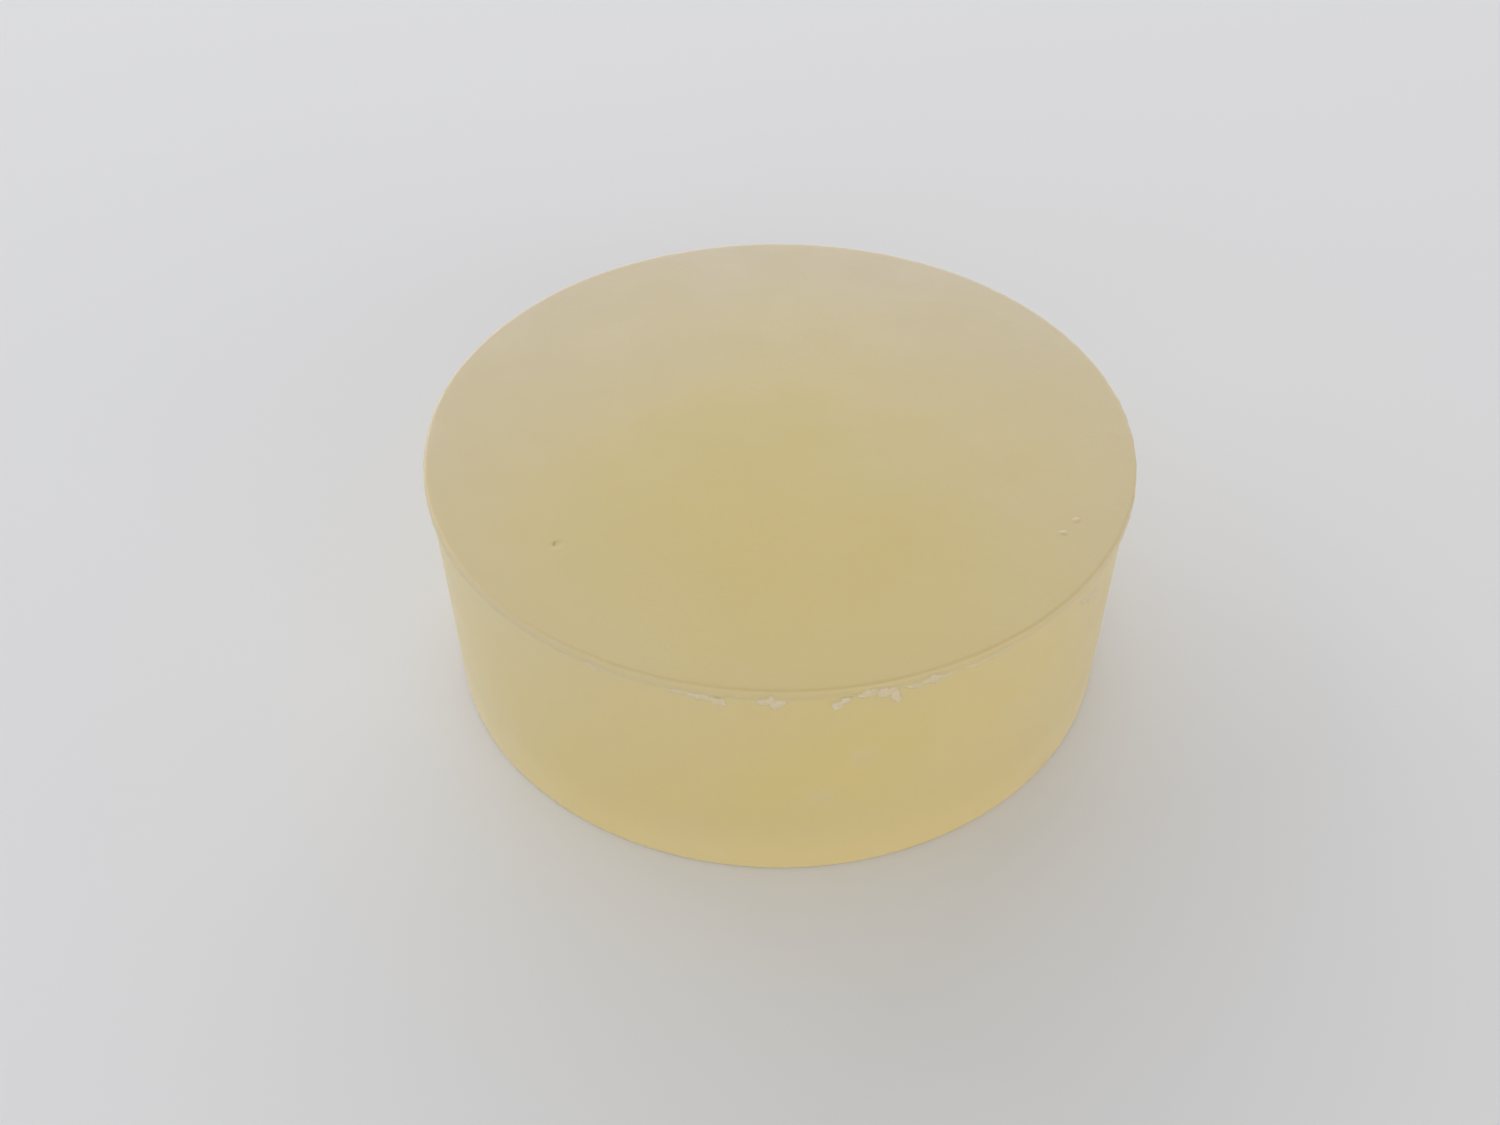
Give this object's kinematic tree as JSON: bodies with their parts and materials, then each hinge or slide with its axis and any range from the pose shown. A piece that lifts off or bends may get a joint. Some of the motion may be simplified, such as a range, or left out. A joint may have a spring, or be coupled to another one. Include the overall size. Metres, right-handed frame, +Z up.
{
  "type": "shaving soap puck",
  "caption": "Round cast puck of cloudy amber glycerin shaving soap, slightly wider at the top, with a shallow lip and ragged flash round the top edge.",
  "frame": {"origin": "centre of the flat foot, on the surface that the puck lies on", "axes": "+Z up along the puck's axis, out of the wide top face; -Y towards the front, where the torn slivers are"},
  "size_m": [0.07, 0.07, 0.0256],
  "materials": {
    "soap": "satin, cloudy translucent glycerin soap with a waxy skin",
    "soap_flash": "satin, thin translucent soap",
    "torn_soap": "matte, milky where it was torn",
    "fibre": "matte brown fibre",
    "dew": "gloss, clear liquid"
  },
  "bodies": {
    "root": {"soap_body": "soap", "rim_flash": "soap_flash", "torn_slivers": "torn_soap", "surface_fleck": "fibre", "dew_beads": "dew"}
  },
  "joints": []
}
